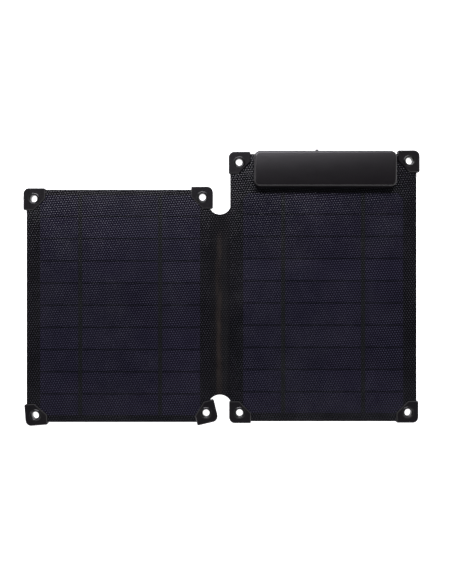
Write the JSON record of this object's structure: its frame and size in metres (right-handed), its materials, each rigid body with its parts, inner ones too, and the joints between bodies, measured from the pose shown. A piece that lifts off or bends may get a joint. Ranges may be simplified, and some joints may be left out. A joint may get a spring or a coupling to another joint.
{
  "type": "folding solar blanket",
  "caption": "Folding solar blanket: stiff cell panels joined by a soft hinge strip, eyelet clips on their corners and a slim control box with sockets along one top edge.",
  "frame": {"origin": "middle of the open blanket's bounding box, at the level it lies on", "axes": "+X across both panels from the short one to the tall one, +Y towards the control box, +Z out of the cells"},
  "size_m": [0.3863, 0.2692, 0.0148],
  "materials": {
    "film": "satin, embossed",
    "encapsulant": "satin",
    "board": "matte",
    "cover": "woven, coated",
    "cells": "satin, dark blue",
    "ribbon": "darkened, tinned",
    "web_film": "satin, ribbed",
    "web_cover": "woven, coated",
    "leads": "flat copper strip",
    "clip": "moulded, fine grain",
    "eyelet": "black, satin",
    "box": "soft touch",
    "gasket": "matte",
    "screw": "black zinc",
    "pcb": "solder mask",
    "wire": "insulated",
    "socket": "bright",
    "insert": "moulded",
    "dust_cover": "soft, matte",
    "ferrite": "pressed",
    "can": "bright",
    "chip": "moulded"
  },
  "bodies": {
    "right_panel": {"right_cell_strips": "cells", "right_clip_bottom_left": "clip", "right_clip_bottom_right": "clip", "right_clip_top_left": "clip", "right_clip_top_right": "clip", "right_encapsulant": "encapsulant", "right_eyelet_washers": "eyelet", "right_eyelets": "eyelet", "right_front_film": "film", "right_rear_cover": "cover", "right_root_cover": "web_cover", "right_root_film": "web_film", "right_root_leads": "leads", "right_stiffener_board": "board", "right_tabbing_ribbons": "ribbon", "box_front_cover": "box", "box_gasket": "gasket", "box_rear_plate": "box", "box_screws": "screw", "capacitors": "can", "chip_packages": "chip", "circuit_board": "pcb", "inductor": "ferrite", "panel_wires": "wire", "small_socket_insert": "insert", "small_socket_shell": "socket", "wide_socket_insert": "insert", "wide_socket_shell": "socket"},
    "right_web": {"right_web_cover": "web_cover", "right_web_film": "web_film", "right_web_leads": "leads"},
    "left_web": {"left_web_cover": "web_cover", "left_web_film": "web_film", "left_web_leads": "leads"},
    "left_panel": {"left_cell_strips": "cells", "left_clip_bottom_left": "clip", "left_clip_bottom_right": "clip", "left_clip_top_left": "clip", "left_clip_top_right": "clip", "left_encapsulant": "encapsulant", "left_eyelet_washers": "eyelet", "left_eyelets": "eyelet", "left_front_film": "film", "left_rear_cover": "cover", "left_root_cover": "web_cover", "left_root_film": "web_film", "left_root_leads": "leads", "left_stiffener_board": "board", "left_tabbing_ribbons": "ribbon"},
    "dust_cover": {"dust_cover": "dust_cover"}
  },
  "joints": [
    {"name": "fold_right", "type": "hinge", "parent": "right_panel", "child": "right_web", "pos_m": [0.00385, 0, 0.0028], "axis": [0, 1, 0], "range_deg": [-60, 60]},
    {"name": "fold_middle", "type": "hinge", "parent": "right_web", "child": "left_web", "pos_m": [-0.00135, 0, 0.0028], "axis": [0, 1, 0], "range_deg": [-60, 60]},
    {"name": "fold_left", "type": "hinge", "parent": "left_web", "child": "left_panel", "pos_m": [-0.00655, 0, 0.0028], "axis": [0, 1, 0], "range_deg": [-60, 60]},
    {"name": "dust_cover_hinge", "type": "hinge", "parent": "right_panel", "child": "dust_cover", "pos_m": [0.0926, 0.13145, 0.01095], "axis": [1, 0, 0], "range_deg": [0, 90]}
  ]
}
